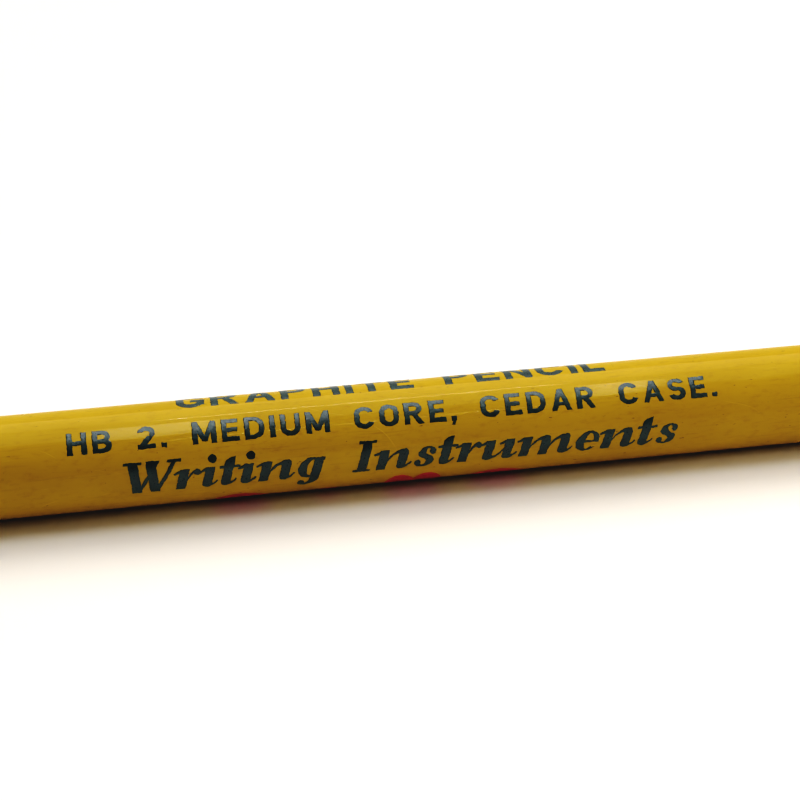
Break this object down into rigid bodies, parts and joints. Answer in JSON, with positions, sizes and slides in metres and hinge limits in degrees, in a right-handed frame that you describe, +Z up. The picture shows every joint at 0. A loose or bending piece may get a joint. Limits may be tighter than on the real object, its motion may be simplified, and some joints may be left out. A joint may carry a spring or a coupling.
{
  "type": "graphite pencil",
  "caption": "Round wooden pencil, sharpened to a cone, with a printed yellow lacquered barrel, a crimped metal ferrule and a pink eraser.",
  "frame": {"origin": "under the middle of the pencil's length, on the surface that it lies on", "axes": "+X along the pencil from the point to the eraser, +Z up, -Y towards the side that carries the lettering"},
  "size_m": [0.189, 0.0075, 0.0075],
  "materials": {
    "graphite": "dense grey-black graphite and clay, slightly shiny where the sharpener cut it",
    "cedar": "bare, close-grained pinkish-brown cedar, cut by a sharpener",
    "glue": "dried, clear cream-coloured wood glue",
    "lacquer": "golden-yellow pencil lacquer, satin gloss",
    "ferrule_metal": "bright drawn aluminium with rolled grooves and crimped flutes",
    "eraser_rubber": "matte pink pumice-filled rubber",
    "dark_ink": "very dark blue-green stamped ink",
    "red_ink": "crimson stamped ink"
  },
  "bodies": {
    "root": {"graphite_core": "graphite", "upper_slat": "cedar", "lower_slat": "cedar", "glue_film": "glue", "lacquer_coat": "lacquer", "ferrule": "ferrule_metal", "eraser": "eraser_rubber", "ink_title": "dark_ink", "ink_details": "dark_ink", "ink_script": "dark_ink", "ink_ornament": "red_ink"}
  },
  "joints": []
}
